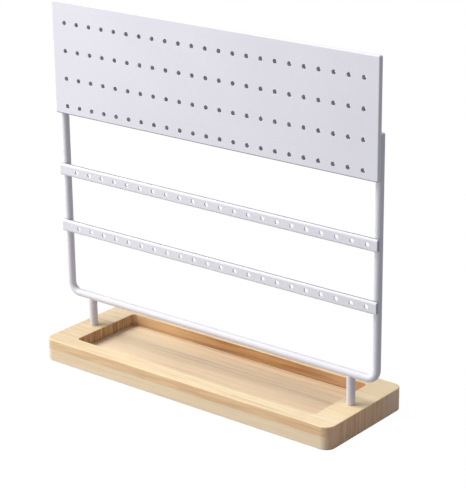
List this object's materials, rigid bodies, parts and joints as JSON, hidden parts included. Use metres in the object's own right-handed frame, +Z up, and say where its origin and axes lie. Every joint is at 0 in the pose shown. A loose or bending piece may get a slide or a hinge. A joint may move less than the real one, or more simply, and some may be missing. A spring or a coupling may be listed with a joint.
{
  "type": "earring display stand",
  "caption": "Countertop earring display stand: a perforated plate and two perforated strips on a bent rod frame above a wooden tray base.",
  "frame": {"origin": "middle of the wooden base's underside, on the surface that the stand rests on", "axes": "+X to the stand's right-hand end along its length, -Y to its front, +Z up"},
  "size_m": [0.3, 0.094, 0.279],
  "materials": {
    "wood": "light natural wood with a thin matt varnish",
    "painted_metal": "smooth white powder coat",
    "screw_steel": "plain zinc-plated steel"
  },
  "bodies": {
    "root": {"tray_base": "wood", "frame": "painted_metal", "left_post": "painted_metal", "right_post": "painted_metal", "top_plate": "painted_metal", "upper_strip": "painted_metal", "lower_strip": "painted_metal", "base_screws": "screw_steel"}
  },
  "joints": []
}
